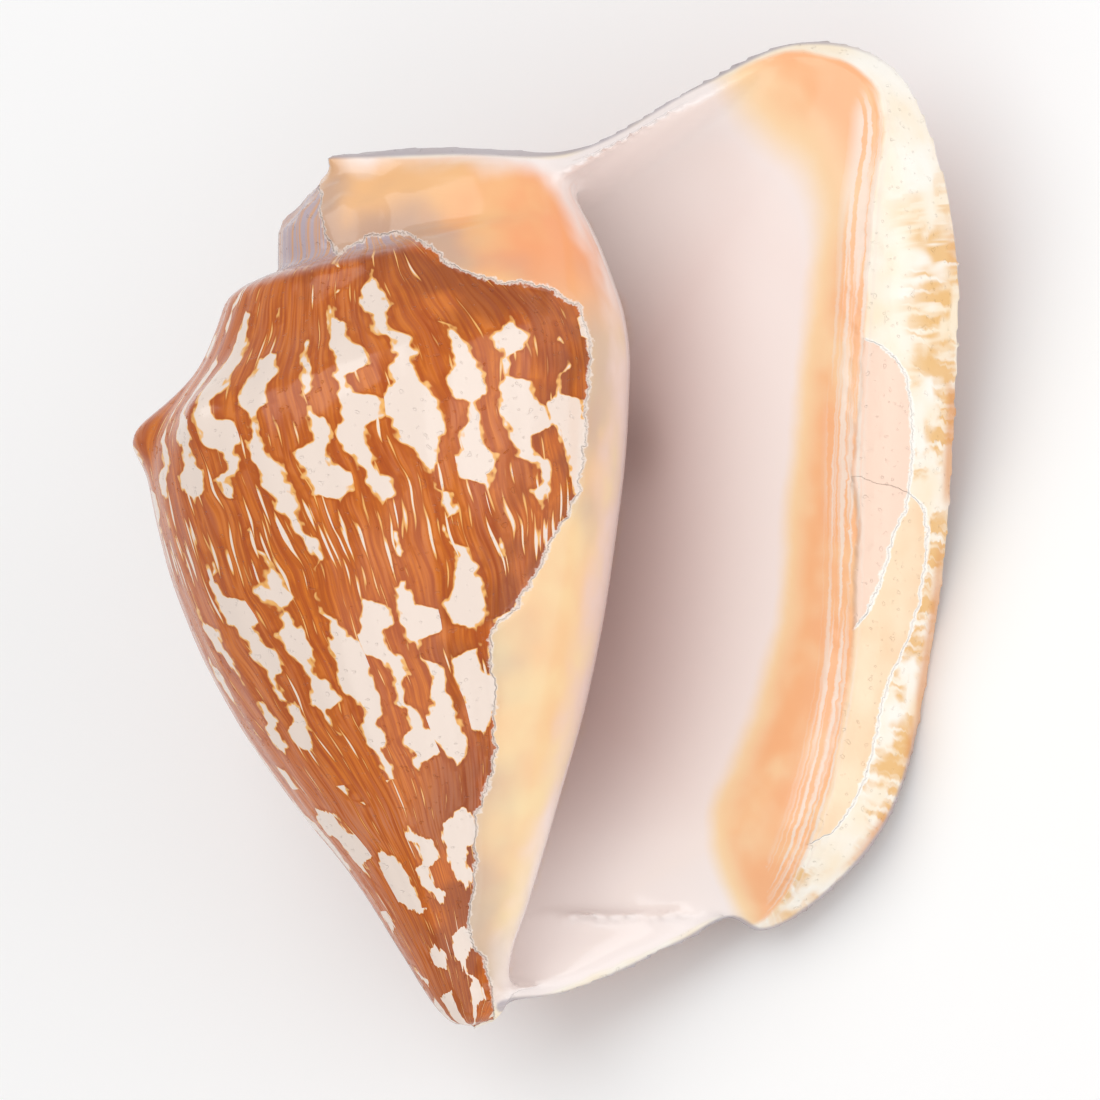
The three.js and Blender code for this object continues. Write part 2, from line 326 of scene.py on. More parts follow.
def wingKnobs(x, y, z):
    turn = 180 + np.degrees(np.arctan2(x, np.maximum(-z, 0.01)))
    scale = whorls["Whorl Growth"] ** ((turn - whorlDetail["measured"]) / 360)
    drop = (whorls["Apex Height"] - y) / scale ** whorls["Spire Flatness"]
    pulse = (0.5 + 0.5 * np.cos((turn - whorls["First Knob"]) * 2 * np.pi / whorls["Knob Spacing"])) ** 2
    upper = whorls["Back Knob Rise"] * (1 - ease(turn, *knobTurns["fade"]))
    lower = whorls["Lower Knob Rise"] * (1 - ease(turn, *knobTurns["lower fade"]))
    upper = upper * np.exp(-((drop - whorls["Knob Drop"]) / whorls["Knob Reach"]) ** 2)
    lower = lower * np.exp(-((drop - whorls["Lower Knob Drop"]) / whorls["Lower Knob Reach"]) ** 2)
    return np.where(z < 0, scale * pulse * (upper + lower), 0)


def lipLines(count):
    share = np.linspace(0, 1, count)
    root = throughStations([s[0] for s in lipStations], share)
    walls = throughStations([(s[1], s[3], 0) for s in lipStations], share)
    crest = throughStations([(*s[2], 0) for s in lipStations], share)
    edge = throughStations([s[4] for s in lipStations], share)
    return root, walls, crest, edge


def growLip():
    root, walls, crest, edge = lipLines(lip["steps"])
    inside = np.hypot(*(crest - root)[:, :2].T)
    rim = np.hypot(*(edge - crest)[:, :2].T)
    crestAt = (inside / (inside + rim))[:, None]
    inner = np.linspace(0, 1, lip["front"] + 1)[None] * crestAt
    outer = crestAt + (1 - crestAt) * np.linspace(0, 1, lip["rim"] + 1)[None, 1:-1]
    back = np.repeat(np.linspace(1, 0, lip["back"])[None], len(root), 0)
    t = np.hstack([inner, outer, back])
    beyond = t > crestAt
    local = np.where(beyond, (t - crestAt) / (1 - crestAt), t / crestAt)
    start = np.where(beyond[..., None], crest[:, None], root[:, None])
    end = np.where(beyond[..., None], edge[:, None], crest[:, None])
    x, y = np.moveaxis((start + (end - start) * local[..., None])[..., :2], -1, 0)
    z = root[:, 2:] + (edge - root)[:, 2:] * np.sin(np.pi / 2 * t ** lip["flare"])
    z = z - wingKnobs(x, y, z)
    wall, crestWall = walls[:, :1], walls[:, 1:2]
    thick = np.where(beyond, crestWall * (1 - np.clip(local, 0, 1) ** lip["rimFall"]),
                     wall + (crestWall - wall) * ease(np.clip(local, 0, 1) ** 1.5, 0, 1))
    # where the wall stands steep its height grows, so that it is nowhere too thin measured square on
    grid = np.stack([x, y, z], -1)
    square = np.cross(np.gradient(grid, axis=0), np.gradient(grid, axis=1))
    steep = np.linalg.norm(square, axis=-1) / np.maximum(np.abs(square[..., 2]), 1e-6)
    fade = np.where(beyond, 1 - np.clip(local, 0, 1) ** lip["rimFall"], 1)
    least = lip["thinnest"] * np.minimum(steep, lip["steepest"]) * fade
    window = np.hanning(lip["smoothing"])
    window = window / window.sum()
    ends = lip["smoothing"] // 2
    least = np.stack([np.convolve(np.pad(column, ends, "edge"), window, "valid") for column in least.T], 1)
    thick = np.maximum(thick, least)
    thick[:, -lip["back"]:] = 0
    points = np.stack([x, y, z + thick], -1)
    rings, around = points.shape[:2]
    at = np.arange(rings * around).reshape(rings, around)
    turned = np.roll(at, -1, 1)
    quads = np.stack([at[:-1], turned[:-1], turned[1:], at[1:]], -1).reshape(-1, 4)
    middle = points.mean(1)[[0, -1]]
    first, last = rings * around, rings * around + 1
    caps = [np.stack([np.full(around, first), turned[0], at[0]], -1),
            np.stack([np.full(around, last), at[-1], turned[-1]], -1)]
    return np.vstack([points.reshape(-1, 3), middle]), quads, np.vstack(caps)


def distanceField(points, quads, triangles, low, shape):
    move = openvdb.createLinearTransform(voxelSize=growth["voxel"])
    grid = openvdb.FloatGrid.createLevelSetFromPolygons(
        points.astype(np.float32), triangles=triangles.astype(np.uint32), quads=quads.astype(np.uint32),
        transform=move, halfWidth=growth["reach"])
    field = np.empty(shape, np.float32)
    grid.copyToArray(field, ijk=low)
    return field


def sample(field, spots):
    # trilinear value of the field at spots given in voxels
    cell = np.clip(np.floor(spots).astype(int), 0, np.array(field.shape) - 2)
    t = spots - cell
    value = 0
    for corner in np.ndindex(2, 2, 2):
        weight = np.prod(np.where(corner, t, 1 - t), axis=1)
        value = value + weight * field[tuple((cell + corner).T)]
    return value


def meshArrays(mesh):
    points = np.empty(len(mesh.vertices) * 3, np.float32)
    mesh.vertices.foreach_get("co", points)
    corners = np.empty(len(mesh.loops), np.int32)
    mesh.loops.foreach_get("vertex_index", corners)
    starts = np.empty(len(mesh.polygons), np.int32)
    mesh.polygons.foreach_get("loop_start", starts)
    totals = np.empty(len(mesh.polygons), np.int32)
    mesh.polygons.foreach_get("loop_total", totals)
    quads = corners[starts[totals == 4][:, None] + np.arange(4)]
    triangles = corners[starts[totals == 3][:, None] + np.arange(3)]
    return points.reshape(-1, 3), quads, triangles


def fuse(body, wing):
    everything = np.vstack([body[0], wing[0]])
    low = np.floor(everything.min(0) / growth["voxel"]).astype(int) - growth["margin"]
    shape = tuple(np.ceil(everything.max(0) / growth["voxel"]).astype(int) + growth["margin"] - low)
    ijk = tuple(int(v) for v in low)
    fields = [distanceField(*part[:3], ijk, shape) for part in (body, wing)]
    share = np.clip(0.5 + 0.5 * (fields[1] - fields[0]) / growth["fillet"], 0, 1)
    joined = fields[1] * (1 - share) + fields[0] * share - growth["fillet"] * share * (1 - share)
    grid = openvdb.FloatGrid(background=growth["voxel"] * growth["reach"])
    grid.copyFromArray(joined.astype(np.float32), ijk=ijk)
    grid.transform = openvdb.createLinearTransform(voxelSize=growth["voxel"])
    points, triangles, quads = grid.convertToPolygons(isovalue=0, adaptivity=0)
    points = points.astype(float)

    # relax the net of faces, then pull it back on to the surface
    pairs = np.vstack([quads[:, [i, (i + 1) % 4]] for i in range(4)]).astype(int)
    slope = np.stack(np.gradient(joined, growth["voxel"]), -1)
    for _ in range(growth["relax"]):
        total, count = np.zeros_like(points), np.zeros(len(points))
        for a, b in ((0, 1), (1, 0)):
            for axis in range(3):
                total[:, axis] += np.bincount(pairs[:, a], points[pairs[:, b], axis], len(points))
            count += np.bincount(pairs[:, a], minlength=len(points))
        points += growth["slack"] * (total / np.maximum(count, 1)[:, None] - points)
        for _ in range(2):
            at = points / growth["voxel"] - low
            pull = np.stack([sample(slope[..., axis], at) for axis in range(3)], -1)
            steep = np.maximum((pull**2).sum(1), growth["flattest"])
            points -= pull * (sample(joined, at) / steep)[:, None]
    return points, quads, triangles


shellFinish = bpy.data.materials.new("shell")
bodyMesh = grownMesh(whorlTree(), whorls, shellFinish)
bodyPart = meshArrays(bodyMesh)
print("body and spire grown:", len(bodyPart[0]), "points")
wingPart = growLip()
print("lip grown:", len(wingPart[0]), "points")
points, quads, triangles = fuse(bodyPart, wingPart)
print("body and lip fused:", len(points), "points", len(quads), "quads", len(triangles), "triangles")


# the glaze's torn edge over the patterned body, from the spire down to the canal, in x and y
glazeEdge = [
    (-8, 158), (-7.5, 147), (-7.5, 141), (-5, 136.5), (0, 138.5), (5.5, 138.5), (10, 135.5), (14, 131),
    (21, 127.5), (29, 125.5), (34.5, 121), (35.5, 114), (33, 102), (30, 90), (24, 81.5), (18, 73),
    (12.5, 68), (11.5, 57), (9.5, 45), (5.5, 37), (4, 26), (1.5, 17), (4, 11), (3.5, 0),
]

# the inner edge of the orange band behind the crest, from the top of the lip down to the notch
bandEdge = [
    (58, 176), (63, 166), (67, 158), (71, 150), (77, 143), (79.5, 135), (77.5, 125), (74.4, 115),
    (71.8, 104.6), (69.2, 92.6), (66.4, 80.6), (63.7, 66.8), (60.8, 58.4), (57.1, 50), (51.5, 40),
    (47.5, 33.7), (46.6, 26.7), (47.4, 19.5), (49.5, 13), (53, 4),
]

places = {
    "sideways": 0.35,           # a normal leaning less than this doesn't tell front from back
    "pocket": -1.4,             # past this turn, in radians, the whorl is inside the aperture
    "whorl end": -2.6,          # and past this one it is the whorl's own end
    "pace": 40.0,               # millimetres along the whorl for each radian
    "back glaze": 2.2,          # glaze round the back of the thin edge
    "buried": 10.0,             # the value for surfaces well inside
}
lipSpan = ((100, 112), (262, 272))      # where the thick lip starts and ends, round the edge


def signedDistance(spots, line):
    # distance to a line in the x, y plane, positive on the left of the way it runs
    line = np.array(line, float)[:, :2]
    tangent = np.gradient(line, axis=0)
    nearest = np.empty(len(spots), int)
    batch = 4000
    for start in range(0, len(spots), batch):
        gaps = spots[start:start + batch, None, :2] - line[None]
        nearest[start:start + batch] = (gaps**2).sum(-1).argmin(1)
    away = spots[:, :2] - line[nearest]
    side = tangent[nearest, 0] * away[:, 1] - tangent[nearest, 1] * away[:, 0]
    return np.hypot(*away.T) * np.where(side >= 0, 1, -1), nearest


def pointNormals(points, quads):
    a, b, c, d = (points[quads[:, i]] for i in range(4))
    across = np.cross(c - a, d - b)
    total = np.zeros_like(points)
    for corner in range(4):
        for axis in range(3):
            total[:, axis] += np.bincount(quads[:, corner], across[:, axis], len(points))
    return total / np.linalg.norm(total, axis=1)[:, None]


def denseLine(stations, count=500):
    return throughStations([(*p, 0) for p in stations], np.linspace(0, 1, count))


def surveyShell(points, normals, bodyPart, wingPart):
    rootLine, _, crestLine, edgeLine = lipLines(600)
    pillarLine = denseLine([(radius, height) for height, radius in pillarProfile[::-1]])
    crest, _ = signedDistance(points, crestLine)
    edge, nearest = signedDistance(points, edgeLine)
    glaze, _ = signedDistance(points, denseLine(glazeEdge))
    band, _ = signedDistance(points, denseLine(bandEdge))
    pillar, _ = signedDistance(points, pillarLine)
    lengths = np.concatenate([[0], np.cumsum(np.linalg.norm(np.diff(edgeLine[:, :2], axis=0), axis=1))])

    # each point belongs to the lip or the body, whichever is nearer
    lipTree, bodyTree = (
        BVHTree.FromPolygons(part[0].tolist(), part[1].tolist()) for part in (wingPart, bodyPart))
    nearLip = [lipTree.find_nearest(p)[2:] for p in points.tolist()]
    onLip = np.array([gap < bodyTree.find_nearest(p)[3] for p, (_, gap) in zip(points.tolist(), nearLip)])
    around = lip["front"] + lip["rim"] + lip["back"]
    facing = np.array([face % around < around - lip["back"] for face, _ in nearLip])
    front = np.where(np.abs(normals[:, 2]) > places["sideways"], normals[:, 2] > 0, facing)
    x, y, z = points.T
    turn = np.arctan2(-x, z)
    rootHeight = np.interp(y, rootLine[::-1, 1], rootLine[::-1, 2])
    inPocket = ~onLip & (turn < places["pocket"]) & (z > rootHeight)
    turn = np.where(turn < places["whorl end"], turn + 2 * np.pi, turn)
    hidden = onLip & front & (z < 3) & (pillar < 0)
    back = onLip & ~front
    behindLip = places["back glaze"] - np.abs(edge)
    glaze = np.where(onLip, np.where(front, glaze, behindLip), np.minimum(glaze, z + 2))
    glaze = np.where(inPocket | hidden, places["buried"], glaze)
    pillar = np.where(inPocket | hidden, 8, pillar)
    return {
        "glaze": np.clip(glaze, -30, 30),           # from the glaze's torn edge, positive over the glaze
        "crest": crest,                             # from the lip's crest, positive on the rim
        "pillar": pillar,                           # from the pillar's edge, positive in the aperture
        "face": np.where(back, -1, 1) * np.abs(edge),   # from the lip's thin edge, negative behind it
        "band": band,                               # from the orange band's inner edge, positive in it
        "along": lengths[nearest],                  # round the lip's edge from the spire
        # along the growth of the whorl
        "spiral": np.where(back, places["pace"] * np.pi + x, places["pace"] * turn),
    }


survey = surveyShell(points, pointNormals(points, quads), bodyPart, wingPart)
print("surface surveyed")


relief = {
    "Glaze Step": 0.5,          # thickness of the glaze over the patterned body
    "Layer Step": 0.45,         # each growth layer of the crest
    "Layer Spacing": 1.7,
    "Ripple Height": 0.3,       # growth ripples, widest on the back
    "Ripple Spacing": 7.0,
    "Cord Height": 0.35,        # low spiral cords behind the wing
    "Cord Spacing": 9.0,
    "Wander": 2.0,              # how far ripples and layers stray from true
    "Seed": 3.0,
}
clouds = {"cloud": 0.11, "drift": 0.04}     # soft fields that the finish reads, and their scales


def reliefTree():
    tree, size = growTree("carve relief", relief)
    make = Wire(tree)

    def named(name, kind="FLOAT"):
        return make.node("GeometryNodeInputNamedAttribute", {"data_type": kind}, {"Name": name})

    place = make.node("GeometryNodeInputPosition")
    noise = make.node("ShaderNodeTexNoise", {"noise_dimensions": "4D"},
                      {"Vector": place, "W": size["Seed"], "Scale": 0.09, "Detail": 2.0})
    stray = (noise - 0.5) * size["Wander"]
    glaze, crest, face, spiral, along = (
        named(n) for n in ("glaze", "crest", "face", "spiral", "along"))
    height = make.node("ShaderNodeSeparateXYZ", None, {0: place}, 1)
    outer = 1 - (glaze + stray * 0.3).ease(-0.5, 0.5)       # 1 on the outside of the shell
    ripple = ((spiral + stray * 3) * (2 * math.pi) / size["Ripple Spacing"]).sine()
    cord = ((height + spiral * 0.15 + stray) * (2 * math.pi) / size["Cord Spacing"]).sine()
    behind = outer * spiral.ease(90, 130)
    steps = (crest + stray + 1.5) / size["Layer Spacing"]
    layered = crest.between((-2.5, 0), (4, 7)) * glaze.ease(0, 1) * along.between(*lipSpan)
    wear = make.calc("FRACT", steps) * layered * size["Layer Step"]
    lift = (behind * (ripple * size["Ripple Height"] + cord * size["Cord Height"])
            + outer * (1 - behind) * ripple * size["Ripple Height"] * 0.25
            - outer * size["Glaze Step"] - wear)
    lift = lift * face.size().ease(0.3, 2.5)                # the thin edge keeps its line
    shell = size["Start"]
    for name, scale in clouds.items():
        field = make.node("ShaderNodeTexNoise", {"noise_dimensions": "4D"},
                          {"Vector": place, "W": size["Seed"], "Scale": scale, "Detail": 2.0}, 1)
        shell = make.node("GeometryNodeStoreNamedAttribute",
                          {"data_type": "FLOAT_VECTOR", "domain": "POINT"},
                          {"Geometry": shell, "Name": name, "Value": field})
    normal = make.node("GeometryNodeInputNormal")
    offset = make.node("ShaderNodeVectorMath", {"operation": "SCALE"}, {0: normal, "Scale": lift})
    shell = make.node("GeometryNodeSetPosition", None, {"Geometry": shell, "Offset": offset})
    shell = make.node("GeometryNodeRealizeInstances", None, {"Geometry": shell})
    shell = make.node("GeometryNodeSetMaterial", None, {"Geometry": shell, "Material": size["Finish"]})
    tree.links.new(shell.socket, tree.nodes.new("NodeGroupOutput").inputs[0])
    return tree


def shellMesh(points, quads, triangles, survey):
    mesh = bpy.data.meshes.new("shell")
    mesh.from_pydata(points.tolist(), [], quads.tolist() + triangles.tolist())
    for name, values in survey.items():
        mesh.attributes.new(name, "FLOAT", "POINT").data.foreach_set("value", values.astype(np.float32))
    grown = mesh.attributes.new("grown", "FLOAT_VECTOR", "POINT")
    grown.data.foreach_set("vector", points.astype(np.float32).ravel())
    mesh.update()
    return mesh


def layToRest(mesh):
    # turn the grown shell to where it rests, wear its resting spots flat and change to metres
    pitch = Matrix.Rotation(math.radians(rest["pitch"]), 3, "X")
    roll = Matrix.Rotation(math.radians(rest["roll"]), 3, "Y")
    turn = np.array(pitch @ roll)        # rolled towards the lip first, then pitched
    points = np.empty(len(mesh.vertices) * 3, np.float32)
    mesh.vertices.foreach_get("co", points)
    points = points.reshape(-1, 3) @ turn.T
    low, high = points.min(0), points.max(0)
    middle = np.array(cadBox).mean(0) * 1000
    shift = np.array([middle[0] - (low[0] + high[0]) / 2, middle[1] - (low[1] + high[1]) / 2,
                      -low[2] - rest["worn"]])
    points = points + shift
    points[:, 2] = np.maximum(points[:, 2], 0)
    mesh.vertices.foreach_set("co", (points / 1000).astype(np.float32).ravel())
    mesh.polygons.foreach_set("use_smooth", np.ones(len(mesh.polygons), bool))
    mesh.update()
    return turn, shift


plain = shellMesh(points, quads, triangles, survey)
carved = grownMesh(reliefTree(), relief, shellFinish, plain)
turnToRest, shiftToRest = layToRest(carved)
shell = bpy.data.objects.new("conch shell", carved)
shell.name = "conchShell"
bpy.context.scene.collection.objects.link(shell)
print("relief carved, shell laid to rest")


def tint(red, green, blue):
    # a colour as a maker would mix it, 0 to 255
    shares = (red / 255, green / 255, blue / 255)
    return tuple(c / 12.92 if c <= 0.04 else ((c + 0.055) / 1.055) ** 2.4 for c in shares)


def paint(share, under, over):
    make = share if isinstance(share, Wire) else over
    under, over = ((*c, 1) if isinstance(c, tuple) else c for c in (under, over))
    return make.node("ShaderNodeMix", {"data_type": "RGBA"}, {0: share, 6: under, 7: over}, 2)


pattern = {
    "column": 9.6,              # spacing of the white columns round the whorl
    "lower": 45.5, "lower column": 16.0,    # height below which they stand wider apart
    "tip": 22.5, "tip column": 26.0,
    "block": 4.6,               # height of the blocks that a column is built from
    # [height, how much of a column is white there: 0.3 hardly any, 0.8 nearly all]
    "rows": [
        (0, 0.5), (8, 0.62), (13, 0.4), (18, 0.68), (22.5, 0.1), (29, 0.66), (36, 0.66), (45.5, 0.12),
        (54, 0.62), (62, 0.42), (70, 0.62), (79, 0.35), (88, 0.22), (95, 0.45), (104, 0.62), (112, 0.55),
        (119, 0.5), (126, 0.34), (132, 0.2), (170, 0.2),
    ],
    "block changes": (12, 20),  # how far a column's rows stray, by chance and with the drift
    "slant": 0.17,              # lean of the columns against the axis
    "bend": 12.0,
    # [height, how far the peeled patch reaches past the crest]
    "salmon": [
        (0, 0), (56, 0), (60, 1.5), (66, 5), (76, 8), (84, 10.8), (92, 11), (100, 10), (108, 5),
        (114, 0), (170, 0),
    ],
    "cream": [
        (0, 0), (22, 0), (27, 5), (36, 7.5), (48, 8), (57, 11), (68, 13.5), (76, 14), (84, 8),
        (90, 0), (170, 0),
    ],
    "tallest": 170.0, "widest": 20.0,       # room that these curves have
}
colours = {
    "orange brown": (214, 116, 22), "deep brown": (178, 80, 6), "veil": (198, 124, 88),
    # the darkest brown on the next line is painted shade, laid beside the glaze's raised edge
    "block ring": (160, 66, 4), "shade by glaze": (124, 54, 20), "fringe": (236, 176, 98),
    "white block": (234, 217, 205), "worn lilac": (186, 170, 178), "worn tan": (214, 164, 128),
    "cream": (242, 216, 168), "warm cream": (240, 196, 150), "upper cream": (240, 186, 132),
    # the aperture's deep colour on the next line is partly a pinker inner tone, partly painted shade of the
    # cavity's depth
    "blush": (240, 156, 108), "smoke": (160, 146, 152), "deep inside with shade": (230, 204, 198),
    "inside": (244, 232, 228), "band edge": (247, 214, 170), "orange band": (244, 172, 122),
    "rim": (246, 241, 232), "warm rim": (244, 226, 198), "stain": (228, 174, 92),
    "stripe": (212, 136, 62), "peach": (245, 220, 188), "deep peach": (242, 206, 168),
    "peeled edge": (250, 244, 236), "salmon": (243, 212, 192), "crest layer": (238, 222, 208),
    "torn edge": (236, 222, 212), "thin margin": (168, 158, 166),
}


def finishShell(material):
    material.use_nodes = True
    tree = material.node_tree
    make = Wire(tree)
    mix = {name: tint(*colour) for name, colour in colours.items()}

    def named(name):
        return make.node("ShaderNodeAttribute", {"attribute_name": name}, None, 2)

    def noise(x, y, z=0.0, detail=2.0, rough=0.5):
        place = make.node("ShaderNodeCombineXYZ", None, {0: x, 1: y, 2: z})
        return make.node("ShaderNodeTexNoise", None,
                         {"Vector": place, "Scale": 1.0, "Detail": detail, "Roughness": rough}, 0)

    def chance(value):
        return make.node("ShaderNodeTexWhiteNoise", {"noise_dimensions": "1D"}, {"W": value}, 0)

    def curve(value, points, widest):
        tallest = pattern["tallest"]
        return make.node("ShaderNodeFloatCurve", {"points": [(a / tallest, b / widest) for a, b in points]},
                         {"Value": value / tallest}) * widest

    def parts(name):
        vector = make.node("ShaderNodeAttribute", {"attribute_name": name}, None, 1)
        return (make.node("ShaderNodeSeparateXYZ", None, {0: vector}, i) for i in range(3))

    grown = make.node("ShaderNodeAttribute", {"attribute_name": "grown"}, None, 1)
    x, y, z = parts("grown")
    cloudA, cloudB, cloudC = parts("cloud")
    driftA, driftB, driftC = parts("drift")
    glaze, crest, pillar, face, along, spiral, band = (
        named(n) for n in ("glaze", "crest", "pillar", "face", "along", "spiral", "band"))

    # white blocks in columns along the growth lines, on orange brown
    bend = driftA - 0.5
    line = spiral + (whorls["Shoulder Height"] - y) * pattern["slant"] + bend * pattern["bend"]
    # fewer columns fit round the narrow end
    spacing = make.calc("LESS_THAN", y, pattern["lower"]).blend(pattern["column"], pattern["lower column"])
    spacing = make.calc("LESS_THAN", y, pattern["tip"]).blend(spacing, pattern["tip column"])
    column = line / spacing
    which = make.calc("FLOOR", column)
    across = column - which - 0.5
    step = (y + chance(which + 0.5) * 30) / pattern["block"]
    block = make.calc("FLOOR", step)
    turnOver = (step - block).ease(0.3, 0.7)

    def blocks(seed):
        ends = []
        for following in (0, 1):
            place = make.node("ShaderNodeCombineXYZ", None, {0: which, 1: block + following, 2: seed})
            ends.append(make.node("ShaderNodeTexWhiteNoise", {"noise_dimensions": "3D"}, {"Vector": place}))
        return turnOver.blend(*ends)

    byChance, byDrift = pattern["block changes"]
    rows = curve(y + (chance(which + 9.5) - 0.5) * byChance + bend * byDrift, pattern["rows"], 1)
    rows = rows - spiral.ease(24, 60) * 0.12 - (chance(which + 4.5) - 0.5) * 0.1
    lobes = (noise(line / 1.8, y / 2.2, 2.0, 1.0) - 0.5) * 0.36
    halfWidth = rows - 0.335 + (blocks(3.5) - 0.5) * 0.4 + lobes
    white = (halfWidth - (across - (blocks(7.5) - 0.5) * 0.44).size()) * spacing
    dashBand = (y - 88 + bend * 8).bell(8)
    dashes = (noise(line / 0.9, (y + chance(make.calc("FLOOR", line / 1.8)) * 20) / 8, 8.0, 0.0)
              - 0.79 + 0.13 * dashBand) * 8
    white = white.most(dashes)
    streak = noise(line * 0.9, y / 26, 4.0, 2.0, 0.65)
    brown = paint(streak.ease(0.32, 0.68), mix["orange brown"], mix["deep brown"])
    pale = driftB.ease(0.38, 0.54) * (0.3 + 0.7 * spiral.ease(42, 60).most(1 - y.ease(30, 62)))
    brown = paint(pale * 0.75 * (1 - white.ease(-3.2, -1.2)), brown, mix["veil"])
    brown = paint(white.ease(-2.6, -0.7) * 0.5, brown, mix["block ring"])     # darker round the white
    # painted shade: the brown darkens towards the glaze's raised edge
    brown = paint(glaze.ease(-16, -1) * cloudC.ease(0.36, 0.56) * 0.6, brown, mix["shade by glaze"])
    fringe = paint(white.ease(-0.6, -0.1), brown, mix["fringe"])
    flames = paint(white.ease(-0.1, 0.3), fringe, mix["white block"])
    worn = (y + spiral * 0.055).ease(134, 138) * (1 - spiral.ease(128, 138))      # the early whorls
    flames = paint(worn, flames, paint(streak.ease(0.42, 0.66), mix["worn lilac"], mix["worn tan"]))

    # the glaze over the body and the aperture
    upper = y.ease(112, 132)
    cream = paint(cloudA.ease(0.2, 0.8), mix["cream"], mix["warm cream"])
    cream = paint(upper, cream, mix["upper cream"])
    blush = (x + (cloudB - 0.5) * 40).ease(12, 34) * upper
    cream = paint(blush * 0.8, cream, mix["blush"])
    smoke = (1 - (glaze + (cloudC - 0.5) * 8).ease(1, 8)) * driftC.ease(0.38, 0.6)
    cream = paint(smoke * 0.5, cream, mix["smoke"])
    # the aperture darkens away from the crest: partly a pinker inner tone, partly painted shade of the deep
    # cavity
    inner = paint(crest.ease(-55, -12), mix["deep inside with shade"], mix["inside"])
    glazed = paint((pillar + (cloudA - 0.5) * 8).ease(-5, 1), cream, inner)
    soften = y.ease(110, 150).blend(3.5, 8.0)               # the band fades out widest near the top
    orange = (band + (cloudB - 0.5) * 3) / soften
    glazed = paint(orange.ease(-0.8, 0.2), glazed, mix["band edge"])
    glazed = paint(orange.ease(-0.2, 1.2) * cloudC.ease(0.1, 0.6) * 0.85, glazed, mix["orange band"])

    # the rim beyond the crest
    ragged = noise(x / 2.6, y / 2.6, 1.0, 3.0, 0.65) - 0.5
    rim = paint(cloudA.ease(0.3, 0.7), mix["rim"], mix["warm rim"])
    outer = face.size()                                     # in from the outer edge
    tongues = noise(along / 1.8, crest / 9, 3.0, 1.0, 0.6)
    stain = cloudC.ease(0.43, 0.54) * tongues.ease(0.36, 0.6) * (1 - outer.ease(5, 14))
    stain = stain * along.between((118, 140), lipSpan[1])
    rim = paint(stain * 0.85, rim, mix["stain"])
    stripe = (1 - outer.ease(1.2, 3)) * driftC.ease(0.44, 0.54) * along.between((130, 150), (240, 262))
    rim = paint(stripe * 0.7, rim, mix["stripe"])
    peach = paint(cloudB.ease(0.3, 0.7), mix["peach"], mix["deep peach"])
    peeling = 0
    for patch, fill in (("cream", peach), ("salmon", mix["salmon"])):
        reach = curve(y, pattern[patch], pattern["widest"])
        absent = (1 - reach.ease(0, 2)) * 12
        inPatch = reach - crest + ragged * 2.2 - absent
        rim = paint(inPatch.ease(0, 0.3), rim, fill)
        rim = paint(1 - inPatch.size().ease(0.2, 0.6), rim, mix["peeled edge"])
        peeling = peeling + inPatch.ease(-0.2, 0.3)
    outside = (crest + (cloudB - 0.5) * 3).ease(0.8, 2.0)
    glazed = paint(outside, glazed, rim)
    layers = noise((crest + ragged) * 1.3, y / 40, 2.0, 1.0).ease(0.42, 0.6)
    layers = layers * crest.between((-5, -2), (1.5, 3.5)) * along.between(*lipSpan)
    glazed = paint(layers * 0.8, glazed, mix["crest layer"])

    torn = glaze + ragged * 2.6
    colour = paint(torn.ease(-0.05, 0.05), flames, glazed)
    colour = paint((1 - torn.size().ease(0.15, 0.45)) * 0.8 * z.ease(2, 8), colour, mix["torn edge"])
    margin = (1 - outer.ease(0.7, 1.5)) * (1 - along.between((88, 110), (215, 235)))
    colour = paint(margin * 0.85, colour, mix["thin margin"])

    bumps = torn.ease(-0.2, 0.2) * 0.35 + peeling * outside * 0.3
    pits = make.node("ShaderNodeTexNoise", None, {"Vector": grown, "Scale": 0.9, "Detail": 1.0})
    pits = pits.ease(0.66, 0.75) * (1 - torn.ease(-0.05, 0.05) * (1 - outside))      # none on the glaze
    height = bumps - pits * 0.12
    normal = make.node("ShaderNodeBump", None, {"Strength": 1.0, "Distance": 0.001, "Height": height})
    rough = 0.15 + pits * 0.25 + outside * torn.ease(0, 0.2) * 0.2

    surface = tree.nodes["Principled BSDF"]
    tree.links.new(colour.socket, surface.inputs["Base Color"])
    tree.links.new(rough.socket, surface.inputs["Roughness"])
    tree.links.new(normal.socket, surface.inputs["Normal"])


finishShell(shellFinish)
print("finish mixed")

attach(shell, "root")
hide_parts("shell")


studio = {
    "aim": (24.0, 81.0, 4.0),       # middle of the view, in the growing frame
    "tilt": 7.48,                   # degrees that the axis leans left in the view
    "lens": 200.0,
    "view": 0.1908,                 # metres across at the aim
    "far": 20.0,                    # how far the camera sees
    "floor": 6.0,                   # metres across
    "card": 0.94, "card roughness": 0.8,
    "ambient": 0.6,
    "reach": 0.9,                   # from the aim to each softbox
    "softboxes": [                  # direction from the shell as the camera sees it, size, power
        ((-0.7, 0.6, 0.8), 0.8, 3.2),
        ((0.9, 0.2, 0.8), 0.9, 3.4),
        ((0.0, -0.8, 0.8), 0.8, 1.6),
    ],
}


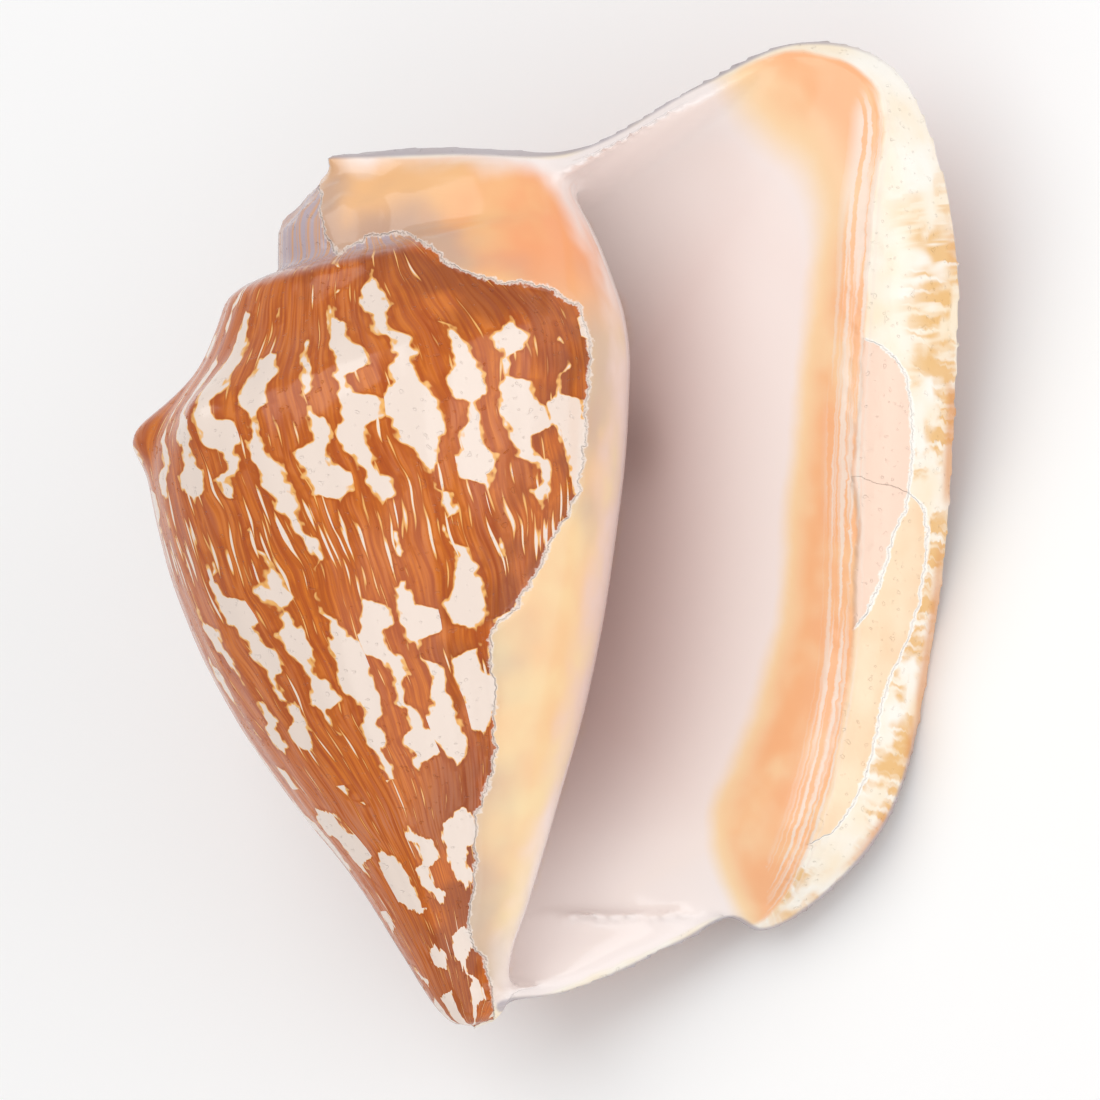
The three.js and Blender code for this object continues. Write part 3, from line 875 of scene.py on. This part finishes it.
def buildStudio():
    scene = bpy.context.scene
    scene.view_settings.view_transform = "Standard"
    world = bpy.data.worlds.new("studio")
    scene.world = world
    world.use_nodes = True
    sky = world.node_tree.nodes["Background"]
    sky.inputs["Color"].default_value = (1, 1, 1, 1)
    sky.inputs["Strength"].default_value = studio["ambient"]

    floorMesh = bpy.data.meshes.new("floor")
    half = studio["floor"] / 2
    corners = [(-half, -half, 0), (half, -half, 0), (half, half, 0), (-half, half, 0)]
    floorMesh.from_pydata(corners, [], [(0, 1, 2, 3)])
    floor = bpy.data.objects.new("floor", floorMesh)
    scene.collection.objects.link(floor)
    card = bpy.data.materials.new("pale card")
    card.use_nodes = True
    surface = card.node_tree.nodes["Principled BSDF"]
    surface.inputs["Base Color"].default_value = (*[studio["card"]] * 3, 1)
    surface.inputs["Roughness"].default_value = studio["card roughness"]
    floorMesh.materials.append(card)

    lean = math.radians(studio["tilt"])
    right = turnToRest @ np.array([math.cos(lean), -math.sin(lean), 0])
    up = turnToRest @ np.array([math.sin(lean), math.cos(lean), 0])
    toward = turnToRest @ np.array([0, 0, 1])
    aim = (turnToRest @ np.array(studio["aim"]) + shiftToRest) / 1000
    axes = Matrix((right, up, toward)).transposed().to_4x4()

    camera = bpy.data.cameras.new("camera")
    camera.lens = studio["lens"]
    camera.clip_end = studio["far"]
    cameraObject = bpy.data.objects.new("camera", camera)
    distance = studio["view"] * studio["lens"] / camera.sensor_width
    cameraObject.matrix_world = Matrix.Translation(Vector(aim + toward * distance)) @ axes
    scene.collection.objects.link(cameraObject)
    scene.camera = cameraObject

    for i, (direction, size, power) in enumerate(studio["softboxes"]):
        light = bpy.data.lights.new(f"softbox {i + 1}", "AREA")
        light.size, light.energy = size, power
        lightObject = bpy.data.objects.new(light.name, light)
        way = (right * direction[0] + up * direction[1] + toward * direction[2])
        way = Vector(way / np.linalg.norm(way))
        facing = way.to_track_quat("Z", "Y").to_matrix().to_4x4()
        lightObject.matrix_world = Matrix.Translation(Vector(aim) + way * studio["reach"]) @ facing
        scene.collection.objects.link(lightObject)


buildStudio()
print("studio set")
